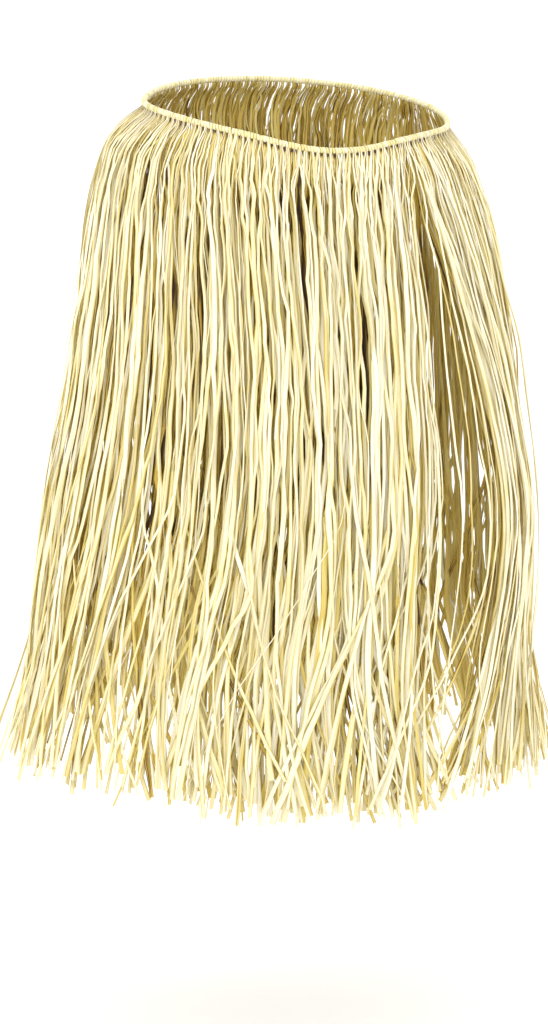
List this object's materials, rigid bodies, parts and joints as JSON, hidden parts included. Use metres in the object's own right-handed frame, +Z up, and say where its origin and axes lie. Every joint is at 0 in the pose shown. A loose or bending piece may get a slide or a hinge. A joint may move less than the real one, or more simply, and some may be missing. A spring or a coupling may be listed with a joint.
{
  "type": "raffia grass skirt",
  "caption": "Raffia grass skirt in its worn, open form: a knotted waist cord, lower at the front, with long loose strands that flare to mid-calf and part at the front left.",
  "frame": {"origin": "middle of the waist cord, where the wearer's hips hold the skirt", "axes": "+Z up along the hanging strands, -Y out of the front of the skirt, +X to the wearer's left"},
  "size_m": [0.659, 0.4657, 0.8551],
  "materials": {
    "raffia_cord": "satin",
    "raffia_strand": "satin"
  },
  "bodies": {
    "root": {"waist_cord": "raffia_cord", "fringe_01": "raffia_strand", "fringe_02": "raffia_strand", "fringe_03": "raffia_strand", "fringe_04": "raffia_strand", "fringe_05": "raffia_strand", "fringe_06": "raffia_strand", "fringe_07": "raffia_strand", "fringe_08": "raffia_strand", "fringe_09": "raffia_strand", "fringe_10": "raffia_strand", "fringe_11": "raffia_strand", "fringe_12": "raffia_strand"}
  },
  "joints": []
}
